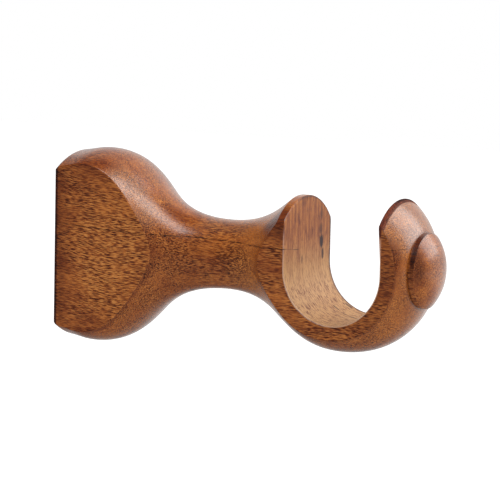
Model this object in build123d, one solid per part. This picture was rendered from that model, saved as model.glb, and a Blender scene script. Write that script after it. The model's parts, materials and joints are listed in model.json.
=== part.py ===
from build123d import *
from math import radians, tan
import os

# A wooden return bracket for a curtain pole: one turned blank, planed flat on both sides, with an open
# U seat routed across it. Millimetres. +X runs out from the wall along the turning axis, +Y runs along
# the pole, +Z is up, and the origin is the point where the turning axis meets the wall.

os.makedirs("parts", exist_ok=True)

# The pole and its seat
pole_diameter = 35.0
pole_clearance = 0.5
wall_to_pole = 109.3
pole_drop = 1.1

# The two planed sides
planed_thickness = 35.3

# Turned outline: radius and station of each crown and hollow
base_rim_radius = 33.2
base_crown_radius = 34.5
base_crown_station = 10.4
waist_radius = 12.1
waist_station = 61.5
head_radius = 29.8
head_behind_pole = 1.2

# The button turned on the end of the head
pole_to_button = 26.0
button_radius = 12.75
button_overhang = 0.25
button_rim = 1.85
button_dome = 4.6

# How full each turned curve is beside the point it leaves, as a share of its own run
rim_flare_angle = 2.0
rim_fullness = 0.45
crown_fullness_to_rim = 0.3
crown_fullness_to_waist = 0.41
waist_fullness_to_crown = 0.63
waist_fullness_to_head = 0.53
head_fullness_to_waist = 0.45
head_fullness_to_button = 0.74
neck_fullness = 0.06
neck_angle = 80.0

# Sanded edges
rim_round = 2.2
back_easing = 0.7
side_easing = 0.5
outer_lip_round = 0.4
lip_corner_round = 5.0

# Above the pole's middle the outer wall leans in by hand, most at the near side
outer_lean_angle = 4.0
outer_twist_angle = 1.2
outer_lean_height = 4.0
outer_lip_height = 16.6

# The inner lip is sanded back to a round land
land_radius = 22.6
land_easing = 0.6

# Blind pilot hole in the back for a hanger screw
pilot_diameter = 5.0
pilot_depth = 32.0

# Sizes that follow
seat_radius = pole_diameter / 2 + pole_clearance
half_thickness = planed_thickness / 2
head_station = wall_to_pole - head_behind_pole
button_station = wall_to_pole + pole_to_button
neck_radius = button_radius - button_overhang
inner_wall = wall_to_pole - seat_radius
outer_wall = wall_to_pole + seat_radius
outer_lip = outer_wall - (outer_lip_height - outer_lean_height) * tan(radians(outer_lean_angle))
beyond = 2 * (button_station + head_radius + base_crown_radius)


def point(station, radius):
    """A point of the turned outline, drawn in the plane z = 0."""
    return Vector(station, radius)


def swell(start, end, start_fullness, end_fullness):
    """A turned curve that leaves and arrives parallel to the axis."""
    run = end.X - start.X
    leave = start + Vector(start_fullness * run, 0)
    arrive = end - Vector(end_fullness * run, 0)
    return Bezier(start, leave, arrive, end)


def turned_outline():
    """The outline's curves from the wall to the tip of the button."""
    rim = point(0, base_rim_radius)
    crown = point(base_crown_station, base_crown_radius)
    waist = point(waist_station, waist_radius)
    head = point(head_station, head_radius)
    neck = point(button_station, neck_radius)

    flare = Vector(rim_fullness * base_crown_station, 0).rotate(Axis.Z, rim_flare_angle)
    flare_end = crown - Vector(crown_fullness_to_rim * base_crown_station, 0)
    head_run = button_station - head_station
    head_leave = head + Vector(head_fullness_to_button * head_run, 0)
    neck_arrive = neck - Vector(neck_fullness * head_run, 0).rotate(Axis.Z, -neck_angle)

    rim_back = point(button_station, button_radius)
    rim_front = point(button_station + button_rim, button_radius)
    tip = point(rim_front.X + button_dome, 0)
    dome_radius = (button_radius ** 2 + button_dome ** 2) / (2 * button_dome)

    return [
        Bezier(rim, rim + flare, flare_end, crown),
        swell(crown, waist, crown_fullness_to_waist, waist_fullness_to_crown),
        swell(waist, head, waist_fullness_to_head, head_fullness_to_waist),
        Bezier(head, head_leave, neck_arrive, neck),
        Line(neck, rim_back),
        Line(rim_back, rim_front),
        RadiusArc(rim_front, tip, dome_radius),
    ]


def section(curves):
    """The flat region between the outline's curves, the wall and the turning axis."""
    first = curves[0] @ 0
    tip = curves[-1] @ 1
    foot = point(first.X, 0)
    return make_face(curves + [Line(foot, first), Line(tip, foot)])


def corner_waste(profile, corner, radius):
    """What is lost when one corner of a flat profile is rounded, open towards the outside."""
    rounded = fillet(corner, radius)
    arcs = rounded.edges().filter_by(GeomType.CIRCLE)
    arc = arcs.sort_by(lambda e: (e.center() - corner.center()).length)[0]
    middle = profile.center()
    box = arc.bounding_box()
    reach = 3 * radius
    near_x, far_x = (box.min.X, box.max.X + reach)
    near_y, far_y = (box.min.Y, box.max.Y + reach)
    if corner.X < middle.X:
        near_x, far_x = (box.max.X, box.min.X - reach)
    if corner.Y < middle.Y:
        near_y, far_y = (box.max.Y, box.min.Y - reach)
    block = Rectangle(abs(far_x - near_x), abs(far_y - near_y))
    return Pos((near_x + far_x) / 2, (near_y + far_y) / 2) * block - rounded


def above_axis(shape):
    """The part of a shape that lies over the turning axis."""
    return shape & Pos(0, 0, beyond / 2) * Box(beyond, beyond, beyond)


def land_waste():
    """What is sanded off the inner lip: all that stands outside a round land beside the seat's wall."""
    run = inner_wall - waist_station
    land = Pos(waist_station + run / 2, 0) * Rectangle(run, 2 * land_radius)
    land = fillet(land.vertices().filter_by(lambda v: v.X > waist_station + run / 2), land_easing)
    air = Pos(waist_station + (run + seat_radius) / 2, beyond / 2) * Rectangle(run + seat_radius, beyond)
    return above_axis(revolve(air - land, Axis.X))


def lip_corners_waste(radius, start, end):
    """What is lost, from one station to another, where a lip's round top meets the two planed sides."""
    lip = Circle(radius) & Rectangle(planed_thickness, 2 * radius)
    corners = lip.vertices().group_by(Axis.Y)[-1]
    wastes = [Plane.YZ.offset(start) * corner_waste(lip, corner, lip_corner_round) for corner in corners]
    return [extrude(waste, end - start) for waste in wastes]


turning = section(turned_outline())
bracket = revolve(turning, Axis.X)
bracket = bracket & Box(beyond, planed_thickness, beyond)

# The planed sides meet the turned faces in lightly sanded edges
side_edges = bracket.edges().filter_by(
    lambda e: e.geom_type == GeomType.BSPLINE and abs(abs((e @ 0.5).Y) - half_thickness) < 0.001)
bracket = fillet(side_edges, side_easing)

# The back meets the turned rim and the planed sides in rounded edges too
rim_corner = turning.vertices().filter_by(lambda v: v.X < 0.001).sort_by(Axis.Y)[-1]
back_wastes = [revolve(corner_waste(turning, rim_corner, rim_round), Axis.X)]
plank = Pos(beyond / 2, 0) * Rectangle(beyond, planed_thickness)
for side_corner in plank.vertices().filter_by(lambda v: v.X < 0.001):
    side_waste = extrude(corner_waste(plank, side_corner, back_easing), beyond)
    back_wastes.append(Pos(0, 0, -beyond / 2) * side_waste)
bracket = bracket - back_wastes

# The open seat: a routed half round with walls up through the top of the head, the outer one leaning in
seat_centre = Pos(wall_to_pole, 0, -pole_drop)
seat = seat_centre * Rot(90, 0, 0) * Cylinder(seat_radius, beyond)
mouth = seat_centre * Pos(0, 0, beyond / 2) * Box(2 * seat_radius, beyond, beyond)
outer_foot = Pos(outer_wall, -half_thickness, outer_lean_height)
outer_limit = outer_foot * Rot(0, 0, -outer_twist_angle) * Rot(0, -outer_lean_angle, 0)
mouth = mouth & outer_limit * Pos(-beyond, 0, 0) * Box(2 * beyond, 2 * beyond, 2 * beyond)
bracket = bracket - (seat + mouth)

# The lips at the tops of the seat's two walls
bracket = bracket - land_waste()
outer_arm = turning & Pos(outer_lip + beyond / 2, 0) * Rectangle(beyond, beyond)
outer_corner = outer_arm.vertices().filter_by(lambda v: abs(v.X - outer_lip) < 0.001).sort_by(Axis.Y)[-1]
bracket = bracket - above_axis(revolve(corner_waste(outer_arm, outer_corner, outer_lip_round), Axis.X))
bracket = bracket - lip_corners_waste(land_radius, waist_station, wall_to_pole)
bracket = bracket - lip_corners_waste(outer_corner.Y, wall_to_pole, button_station)

# The pilot hole runs in along the turning axis
pilot = Pos(pilot_depth / 2, 0, 0) * Rot(0, 90, 0) * Cylinder(pilot_diameter / 2, pilot_depth)
bracket = bracket - pilot

export_step(bracket, "parts/bracket.step")
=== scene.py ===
import json
from math import cos, radians, sin

import bpy
from mathutils import Matrix, Vector

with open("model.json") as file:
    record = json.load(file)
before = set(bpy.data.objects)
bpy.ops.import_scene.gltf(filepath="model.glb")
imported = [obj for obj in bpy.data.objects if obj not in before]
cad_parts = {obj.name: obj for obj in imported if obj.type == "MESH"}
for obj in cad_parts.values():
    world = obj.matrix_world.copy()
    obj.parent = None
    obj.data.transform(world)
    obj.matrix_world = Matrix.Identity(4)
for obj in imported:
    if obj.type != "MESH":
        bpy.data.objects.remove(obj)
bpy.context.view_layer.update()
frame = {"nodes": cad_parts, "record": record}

# The bracket: one hardwood blank, glued up from two boards, turned, planed flat on both sides and routed
# for the pole. It is stained a warm brown, which gathers dark in the pores and along some edges, and is
# finished with a clear satin lacquer. Some shade and highlights are painted into its colour, as marked
# below. Its finish is laid out in millimetres.
bracket = frame["nodes"]["bracket"]
MM = 1000.0
pole_seat = next(mount for mount in frame["record"]["mounts"] if mount["name"] == "pole_seat")
POLE_TO_BUTTON = 26.0
OUTER_LIP = 126.6
seat_station = pole_seat["pos_m"][0] * MM
seat_height = pole_seat["pos_m"][2] * MM
seat_radius = pole_seat["dims"]["r_mm"]
half_thickness = pole_seat["dims"]["length_mm"] / 2
inner_wall = seat_station - seat_radius
button_station = seat_station + POLE_TO_BUTTON


class Wire:
    """One socket of a finish. Arithmetic on it adds the Math nodes that work it out."""

    def __init__(self, finish, socket):
        self.finish = finish
        self.socket = socket

    def math(self, operation, *values):
        sockets = dict(enumerate(values))
        return self.finish.node("Math", {"operation": operation}, sockets)[0]

    def __add__(self, other):
        return self.math("ADD", self, other)

    def __radd__(self, other):
        return self.math("ADD", other, self)

    def __sub__(self, other):
        return self.math("SUBTRACT", self, other)

    def __rsub__(self, other):
        return self.math("SUBTRACT", other, self)

    def __mul__(self, other):
        return self.math("MULTIPLY", self, other)

    def __rmul__(self, other):
        return self.math("MULTIPLY", other, self)

    def __truediv__(self, other):
        return self.math("DIVIDE", self, other)

    def __rtruediv__(self, other):
        return self.math("DIVIDE", other, self)

    def __pow__(self, other):
        return self.math("POWER", self, other)

    def __abs__(self):
        return self.math("ABSOLUTE", self)

    def __and__(self, other):
        return self.math("MINIMUM", self, other)

    def __or__(self, other):
        return self.math("MAXIMUM", self, other)

    def ramp(self, low, high):
        """0 up to low, 1 from high on, and a smooth rise between them. High may be under low."""
        sockets = {"Value": self, "From Min": low, "From Max": high}
        return self.finish.node("MapRange", {"interpolation_type": "SMOOTHSTEP"}, sockets)[0]

    def between(self, rise, full, fade, end):
        """1 from full to fade, with a smooth rise before it and a smooth fall to 0 at the end."""
        return self.ramp(rise, full) * self.ramp(end, fade)


class Finish:
    """The nodes of one material or of the world."""

    def __init__(self, owner):
        self.tree = owner.node_tree
        self.tree.nodes.clear()

    def node(self, kind, settings, sockets):
        """Adds a node, gives it its settings, fills its sockets and returns its outputs as wires.

        Stops are the points of a curve, from its start to its end.
        """
        node = self.tree.nodes.new("ShaderNode" + kind)
        for name, value in settings.items():
            if name == "stops":
                points = node.mapping.curves[0].points
                for stop in value[1:-1]:
                    points.new(*stop)
                for point, stop in zip(points, value):
                    point.location = stop
                node.mapping.update()
            else:
                setattr(node, name, value)
        for name, value in sockets.items():
            if isinstance(value, Wire):
                self.tree.links.new(value.socket, node.inputs[name])
            else:
                node.inputs[name].default_value = value
        return [Wire(self, output) for output in node.outputs]

    def blend(self, amount, first, second):
        """The colour between two colours."""
        sockets = {0: amount, 6: first, 7: second}
        return self.node("Mix", {"data_type": "RGBA"}, sockets)[2]

    def tint(self, amount, first, second):
        """The first colour multiplied by the second one, as far as the amount says."""
        sockets = {0: amount, 6: first, 7: second}
        return self.node("Mix", {"data_type": "RGBA", "blend_type": "MULTIPLY"}, sockets)[2]

    def streaks(self, place, stretch, detail=2.0, roughness=0.55, shift=(0.0, 0.0, 0.0)):
        """Noise from 0 to 1 whose cells are 1 / stretch millimetres long along each axis."""
        cells = self.node("VectorMath", {"operation": "MULTIPLY_ADD"}, {0: place, 1: stretch, 2: shift})[0]
        sockets = {"Vector": cells, "Scale": 1.0, "Detail": detail, "Roughness": roughness}
        return self.node("TexNoise", {}, sockets)[0]


def paint(red, green, blue):
    """A colour as painted, on a scale of 255, in the linear values that a shader takes."""
    return tuple((part / 255.0) ** 2.2 for part in (red, green, blue)) + (1.0,)


def oval(*spans):
    """How far out of an oval's middle, squared, with 1 at its edge. A span is axis, middle and half size."""
    return sum(((axis - middle) / half) ** 2.0 for axis, middle, half in spans)


stained = bpy.data.materials.new("stained_wood")
stained.use_nodes = True
wood = Finish(stained)

# Places on the bracket are read from Object coordinates, the fourth output, which are metres
object_place = wood.node("TexCoord", {}, {})[3]
place = wood.node("VectorMath", {"operation": "SCALE"}, {0: object_place, "Scale": MM})[0]
x, y, z = wood.node("SeparateXYZ", {}, {0: place})

# Which surface a point is on: the routed seat, a planed side, or neither, which is the turning. The seat's
# walls rise from its half round, so height above the pole's middle doesn't count in its reach.
seat_reach = ((x - seat_station) ** 2.0 + ((z - seat_height) & 0.0) ** 2.0) ** 0.5
on_seat = seat_reach.ramp(seat_radius + 0.35, seat_radius + 0.2)
on_side = abs(y).ramp(half_thickness - 0.2, half_thickness - 0.05) * (1.0 - on_seat)
on_turning = (1.0 - on_seat) * (1.0 - on_side)

# How far out it is: past the pole's middle, and on which side of the groove beside the button
past_seat = x.ramp(seat_station, seat_station + 5.0)
past_groove = x - button_station
before_button = past_groove.ramp(0.2, -0.8)
on_button = past_groove.ramp(0.3, 0.7)

# The grain sweeps down from the back and then runs along the turning, in slow waves
wave = wood.streaks(place, (0.07, 0.09, 0.09), detail=0.0, shift=(4.0, 4.0, 4.0))
fall = z + x * 0.04 - 20.0 / (x + 12.0) + (wave - 0.5) * 1.6
grain_place = wood.node("CombineXYZ", {}, {0: x, 1: y, 2: fall})[0]

# Broad warm and dark clouds in the stain, which is rubbed thinner in the middle of each planed side
DARK_STAIN = paint(144, 66, 20)
WARM_STAIN = paint(190, 106, 40)
cloud = wood.streaks(place, (0.05, 0.12, 0.12), detail=1.0)
band = wood.streaks(grain_place, (0.04, 0.55, 0.55), shift=(1.0, 2.0, 2.0))
rubbed = oval((x, 24.0, 17.0), (z, -2.0, 24.0)).ramp(1.3, 0.1) * on_side
warmth = (cloud * 0.5 + band * 0.5 + rubbed * 0.14).ramp(0.32, 0.72)
brown = wood.blend(warmth, DARK_STAIN, WARM_STAIN)

# Short dark pores along the grain, with golden flecks between them
FILLED_PORE = paint(112, 66, 44)
GOLD_BY_PORE = paint(228, 154, 80)
DARK_FLECK = paint(140, 92, 66)
GOLD_FLECK = paint(220, 142, 70)
pores = wood.streaks(grain_place, (0.42, 3.9, 3.9), detail=1.0, roughness=0.5, shift=(3.0, 1.0, 7.0))
flecks = wood.streaks(grain_place, (0.20, 2.0, 2.0), roughness=0.6, shift=(5.0, 9.0, 4.0))
rough_patch = wood.streaks(place, (0.09, 0.13, 0.13), detail=1.0, shift=(6.0, 2.0, 8.0)).ramp(0.35, 0.62)
depth = 0.60 + rough_patch * 0.38
brown = wood.tint(pores.ramp(0.47, 0.60) * depth * 0.92, brown, FILLED_PORE)
brown = wood.blend(pores.ramp(0.50, 0.38) * depth * (0.40 + rubbed * 0.40), brown, GOLD_BY_PORE)
brown = wood.tint(flecks.ramp(0.52, 0.64) * depth * 0.34, brown, DARK_FLECK)
brown = wood.blend(flecks.ramp(0.46, 0.34) * depth * 0.22, brown, GOLD_FLECK)

# The planed sides are darker towards both ends and towards their turned edges, and a little darker all
# over; the darkening towards the back edge is painted shade
dark_ends = x.ramp(9.5, 1.0) * 0.7 | x.ramp(112.0, 124.0) * 0.5
dark_edges = abs(z).ramp(18.0, 28.0) * 0.25 | abs(z).ramp(27.4, 28.4) * 0.6
brown = wood.tint((dark_ends | dark_edges | 0.12) * on_side, brown, paint(176, 150, 130))

# The turning is painted paler over the head, as painted light, least at the top of the hook's arm, and a
# faint pale grey sheen is painted there, on the shoulder of the base and along the top of the waist, where
# the highlights lie: a painted highlight
arm_top = x.ramp(124.0, 128.0) * before_button * z.ramp(4.0, 11.0)
lit_head = x.ramp(62.0, 76.0) * before_button * z.ramp(-28.0, -16.0) * (1.0 - arm_top * 0.8)
brown = wood.blend(lit_head * on_turning * 0.12, brown, paint(232, 152, 88))
shoulder = abs(y).ramp(6.5, 12.0) * x.between(18.0, 23.0, 36.0, 44.0) * z.ramp(6.0, 12.0)
waist_top = x.between(50.0, 56.0, 68.0, 78.0) * z.ramp(7.0, 11.0) * 0.8
painted_sheen = shoulder | arm_top | waist_top
brown = wood.blend(painted_sheen * on_turning * 0.08, brown, paint(176, 188, 176))

# Russet patches on both flanks of the base, at its shoulder and its crown, are painted shade beside the
# highlight: the place of each
SHADED_PATCHES = ((42.0, 7.0, 14.0), (19.5, 12.0, 30.0))
for patch_x, patch_y, patch_z in SHADED_PATCHES:
    patch = oval((x, patch_x, 6.0), (abs(y), patch_y, 3.5), (z, patch_z, 4.0)).ramp(1.4, 0.2)
    brown = wood.tint(patch * on_turning * 0.5, brown, paint(190, 150, 124))

# The stain is darker around the waist beside the base, in a knotty patch beside the head and on the crown
dark_neck = x.between(38.0, 46.0, 54.0, 62.0) * z.between(-16.0, -9.0, 5.0, 12.0)
brown = wood.tint(dark_neck * on_turning * 0.3, brown, paint(184, 158, 156))
knotty = oval((x, 69.0, 9.0), (z, -1.0, 6.5)).ramp(1.3, 0.3) * (pores.ramp(0.42, 0.56) * 0.45 + 0.1)
brown = wood.tint(knotty * on_turning, brown, paint(128, 84, 62))
dark_crown = x.ramp(22.0, 12.0) * z.ramp(22.0, 30.0)
brown = wood.tint(dark_crown * on_turning * 0.6, brown, paint(210, 184, 152))

# The flanks of the inner lip are painted darker, as painted shade of its rounding, and the stain gathers
# on the turning beside the edges of the planed sides
lip_side = x.ramp(79.0, 84.0) * z.ramp(5.0, 13.0) * (1.0 - past_seat) * abs(y).ramp(11.0, 14.0)
brown = wood.tint(lip_side * (1.0 - on_side * 0.3), brown, paint(164, 132, 122))
flat_edge = abs(y).ramp(half_thickness - 2.4 + past_seat * 1.3, half_thickness - 0.3)
brown = wood.tint(flat_edge * z.ramp(16.0, 8.0) * on_turning * 0.5, brown, paint(166, 128, 110))

# The routed seat is lighter, because its end grain was sanded hard, with streaks around the pole
PALE_BED = paint(202, 154, 102)
TAN_WALL = paint(180, 110, 50)
around = wood.streaks(place, (0.06, 1.1, 0.06), roughness=0.65, shift=(2.0, 2.0, 5.0))
blotch = wood.streaks(place, (0.22, 0.26, 0.16), shift=(8.0, 1.0, 3.0))
pitting = wood.streaks(place, (0.52, 2.4, 0.52), roughness=0.6, shift=(1.0, 6.0, 2.0))
# The seat is painted lighter towards its bottom, as painted light on the curve that faces up to the lamps
upper_wall = z.ramp(-6.0, 12.0)
seat = wood.blend(upper_wall, PALE_BED, TAN_WALL)
seat = wood.tint(around.ramp(0.47, 0.58) * (0.25 + upper_wall * 0.45), seat, paint(184, 138, 106))
seat = wood.tint(blotch.ramp(0.50, 0.68) * (0.15 + upper_wall * 0.45), seat, paint(180, 138, 132))
seat = wood.tint(pitting.ramp(0.52, 0.60) * (0.4 + z.ramp(-3.0, -13.0) * 0.55), seat, paint(150, 98, 74))

# Its near edge is painted pale, a painted highlight along the edge, and its far edge and the rim of its lip
# carry a dark line
lip_reach = (y ** 2.0 + z ** 2.0) ** 0.5
near_edge_highlight = y.ramp(-17.0, -17.5) * (1.0 - z.ramp(9.0, 13.0))
far_edge = y.ramp(16.2, 17.2) | lip_reach.ramp(21.6, 22.3) * z.ramp(0.0, 3.0) * y.ramp(-9.0, -3.0)
seat = wood.blend(near_edge_highlight * 0.32, seat, paint(206, 176, 172))
seat = wood.tint(far_edge * 0.85, seat, paint(120, 78, 56))
colour = wood.blend(on_seat, brown, seat)

# Knots and open pores in the seat: place, half length around the pole, half width along it, and darkness
MARKS = (
    (inner_wall, 10.7, 5.8, 2.5, 1.5, 1.0),
    (inner_wall, 11.8, 1.5, 2.0, 0.9, 0.9),
    (inner_wall, 10.2, 10.2, 2.2, 1.3, 0.45),
    (inner_wall, 10.6, 15.6, 2.4, 0.8, 0.50),
    (inner_wall, -3.8, 0.8, 1.5, 0.5, 0.60),
    (99.7, 6.6, -16.4, 1.8, 0.5, 0.80),
    (103.2, 5.8, -18.0, 1.6, 0.4, 0.70),
    (106.8, 5.2, -19.0, 1.7, 0.5, 1.0),
    (100.2, 15.5, -16.6, 1.8, 1.0, 0.60),
)
ragged = (pitting - 0.5) * 1.2
for mark_x, mark_y, mark_z, long, wide, darkness in MARKS:
    away = oval((x, mark_x, long), (y, mark_y, wide), (z, mark_z, long)) ** 0.5
    mark = (away + ragged).ramp(1.15, 0.65) * on_seat
    colour = wood.tint(mark * darkness, colour, paint(84, 54, 68))

# The rounded rim of the outer lip is painted dark, as painted shade where its rounding turns from the light.
# The button's groove and the upper side of its rim are painted dark, as painted shade in the crease.
lip_rim = x.ramp(OUTER_LIP + 1.9, OUTER_LIP + 1.5) * lip_reach.ramp(21.0, 21.6)
outer_rim = lip_rim * past_seat * z.ramp(2.0, 6.0)
colour = wood.tint(outer_rim * (1.0 - on_side) * 0.95, colour, paint(158, 104, 62))
groove = past_groove.between(-0.4, -0.1, 0.2, 0.5)
button_rim = past_groove.between(-0.1, 0.2, 1.8, 2.2)
rim_side = button_rim * (z + (pores - 0.5) * 9.0).ramp(-2.0, 6.0)
colour = wood.tint(groove * 0.45 | rim_side * 0.85, colour, paint(118, 66, 38))
# A mottled patch on the button beside the groove is painted dark, as a painted dark reflection, and a
# mottled patch on the arm beside its planed side holds more stain
mottle = pores.ramp(0.40, 0.56) * 0.5 + 0.5
beside_groove = oval((y, -11.0, 2.8), (z, 3.0, 7.0)) ** 0.5
rough = (beside_groove + (pores - 0.5) * 3.5).ramp(1.1, 0.5) * on_button
colour = wood.tint(rough * mottle, colour, paint(112, 56, 24))
beside_flat = oval((y, -17.0, 2.4), (z, 5.0, 7.0)) ** 0.5
rough = (beside_flat + (pores - 0.5) * 3.0).ramp(1.2, 0.5) * on_turning * past_seat
colour = wood.tint(rough * mottle * 0.9, colour, paint(136, 78, 40))

# The glue line between the two boards isn't quite level. Each stop of it is a share of its run out from
# the wall, and a share of its rise above its foot.
LINE_FOOT = 2.6
LINE_RISE = 7.5
LINE_RUN = 145.0
HEIGHTS = ((0.0, 0.80), (0.15, 0.62), (0.25, 0.54), (0.43, 0.46), (0.62, 0.38), (0.9, 0.74), (1.0, 0.8))
line_height = wood.node("FloatCurve", {"stops": HEIGHTS}, {"Factor": 1.0, "Value": x / LINE_RUN})[0]
line_waver = wood.streaks(place, (0.15, 0.15, 0.0), detail=1.0)
wall_fall = on_seat * (y + 17.0) * 0.09
line_away = abs(z - (LINE_FOOT + line_height * LINE_RISE) + (line_waver - 0.5) * 0.5 + wall_fall)
broken = wood.streaks(place, (0.4, 0.2, 0.2), detail=1.0, shift=(9.0, 0.0, 1.0)).ramp(0.30, 0.55)
worn = 1.0 - (on_seat * y.ramp(-8.0, -5.5) | x.ramp(132.0, 136.0) * 0.6)
line = line_away.ramp(0.26, 0.08) * (0.25 + broken * 0.6) * worn
colour = wood.tint(line, colour, paint(84, 56, 52))

# A dark line is painted along the back edge, as painted shade
back_edge = x.between(0.02, 0.12, 1.0, 1.6)
colour = wood.tint(back_edge * 0.9, colour, paint(108, 52, 44))

# The lacquer is thin in the pores and on the planed sides, and none is on the seat and the outer lip's
# rim, which are dull
PORE_DEPTH = 0.06 / MM
sheen = 0.26 + (pores - 0.5) * 0.25 + on_seat * 0.30 + on_side * 0.06 + outer_rim * 0.6 + on_button * 0.05
lacquer = (1.0 - on_seat) * (1.0 - outer_rim) * (1.0 - on_side * 0.6) * (0.9 - pores * 0.6)
relief = wood.node("Bump", {}, {"Strength": 0.5, "Distance": PORE_DEPTH, "Height": flecks - pores})[0]
shader = wood.node("BsdfPrincipled", {}, {
    "Base Color": colour,
    "Roughness": sheen,
    "IOR": 1.6,
    "Coat Weight": lacquer,
    "Coat Roughness": 0.21,
    "Coat IOR": 1.6,
    "Normal": relief,
})[0]
wood.node("OutputMaterial", {}, {"Surface": shader})
bracket.data.materials.clear()
bracket.data.materials.append(stained)

# The studio: a pale floor well below the bracket, which hangs where its wall would hold it, and a white
# surround. The side that the camera stands on is dim, so the lacquer mirrors white only at its edges.
scene = bpy.context.scene
FLOOR_DROP = 0.30
FLOOR_REACH = 4.0
floor_mesh = bpy.data.meshes.new("floor")
corners = ((-1, -1), (1, -1), (1, 1), (-1, 1))
floor_points = [(across * FLOOR_REACH, along * FLOOR_REACH, -FLOOR_DROP) for across, along in corners]
floor_mesh.from_pydata(floor_points, [], [(0, 1, 2, 3)])
floor = bpy.data.objects.new("floor", floor_mesh)
scene.collection.objects.link(floor)
pale = bpy.data.materials.new("pale_floor")
pale.use_nodes = True
ground = Finish(pale)

# Light Path's first output is 1 for what the camera sees straight, its fourth for what a gloss mirrors and
# its seventh for what is seen through glass
floor_ray = ground.node("LightPath", {}, {})
floor_seen = floor_ray[0]
floor_mirrored = floor_ray[3]
floor_place = ground.node("TexCoord", {}, {})[3]
floor_ahead = ground.node("SeparateXYZ", {}, {0: floor_place})[1]
near = floor_ahead.ramp(1.1, 0.1)
LIGHT_GREY = (0.75, 0.75, 0.75, 1.0)
DARK_GREY = (0.08, 0.08, 0.08, 1.0)
WHITE = (1.0, 1.0, 1.0, 1.0)
SEEN_GLOW = 0.62
FAR_GLOW = 0.3
tone = ground.blend(floor_mirrored * near, LIGHT_GREY, DARK_GREY)
matt = ground.node("BsdfDiffuse", {}, {"Color": tone})[0]
glow = floor_seen * SEEN_GLOW | floor_mirrored * (1.0 - near) * FAR_GLOW
lift = ground.node("Emission", {}, {"Color": WHITE, "Strength": glow})[0]
both = ground.node("AddShader", {}, {0: matt, 1: lift})[0]
ground.node("OutputMaterial", {}, {"Surface": both})
floor_mesh.materials.append(pale)

scene.world = bpy.data.worlds.new("surround")
scene.world.use_nodes = True
surround = Finish(scene.world)
ray = surround.node("LightPath", {}, {})
seen_straight = ray[0] | ray[6]
seen_mirrored = ray[3]

# In the world, Texture Coordinate's first output is the way in which one looks out into the room
heading = surround.node("TexCoord", {}, {})[0]
outward, ahead, upward = surround.node("SeparateXYZ", {}, {0: heading})
lit_side = ahead.ramp(0.30, 0.72) * (0.68 - upward.ramp(0.3, 0.65) * 0.26)
mirrored = seen_mirrored * (0.02 + lit_side)
room = (1.0 - (seen_straight | seen_mirrored)) * (0.76 + outward * 0.28)
level = seen_straight | mirrored | room
sky = surround.node("Background", {}, {"Color": WHITE, "Strength": level})[0]
surround.node("OutputWorld", {}, {"Surface": sky})

# Two lamps, and the camera below, are aimed at one point of the turning axis, near its middle
LOOK_AT = Vector((0.0681, 0.0, 0.0))


def softbox(name, toward, along, distance, length, width, power):
    """An oblong lamp seen from the bracket in one direction, whose long side runs in the other one."""
    toward = Vector(toward).normalized()
    across = toward.cross(Vector(along)).normalized()
    lamp = bpy.data.lights.new(name, "AREA")
    lamp.shape = "RECTANGLE"
    lamp.size = length
    lamp.size_y = width
    lamp.energy = power
    body = bpy.data.objects.new(name, lamp)
    facing = Matrix((across.cross(toward), across, toward)).transposed().to_4x4()
    facing.translation = LOOK_AT + toward * distance
    body.matrix_world = facing
    scene.collection.objects.link(body)


softbox("overhead", (0.22, -0.17, 0.96), (0.62, 0.78, 0.0), distance=0.8, length=0.95, width=0.26, power=2.6)
softbox("window", (0.64, 0.55, 0.53), (0.0, 0.0, 1.0), distance=0.8, length=0.6, width=0.55, power=2.4)

# The camera stands to the right of the bracket's middle, a little above it, and leans very slightly to
# one side. Its long lens was fitted, with its place, to the outline in the photograph.
CAMERA_AZIMUTH = radians(28.282)
CAMERA_ELEVATION = radians(6.88)
CAMERA_LEAN = radians(1.221)
CAMERA_DISTANCE = 0.9123
back = Vector((
    sin(CAMERA_AZIMUTH) * cos(CAMERA_ELEVATION),
    -cos(CAMERA_AZIMUTH) * cos(CAMERA_ELEVATION),
    sin(CAMERA_ELEVATION),
))
level_right = Vector((cos(CAMERA_AZIMUTH), sin(CAMERA_AZIMUTH), 0.0))
level_up = back.cross(level_right)
right = level_right * cos(CAMERA_LEAN) + level_up * sin(CAMERA_LEAN)
up = level_up * cos(CAMERA_LEAN) - level_right * sin(CAMERA_LEAN)
view = bpy.data.cameras.new("camera")
view.lens = 189.5
view.sensor_width = 36.0
view.shift_x = 0.00534
view.shift_y = 0.01118
camera = bpy.data.objects.new("camera", view)
stance = Matrix((right, up, back)).transposed().to_4x4()
stance.translation = LOOK_AT + back * CAMERA_DISTANCE
camera.matrix_world = stance
scene.collection.objects.link(camera)
scene.camera = camera
scene.view_settings.view_transform = "Standard"
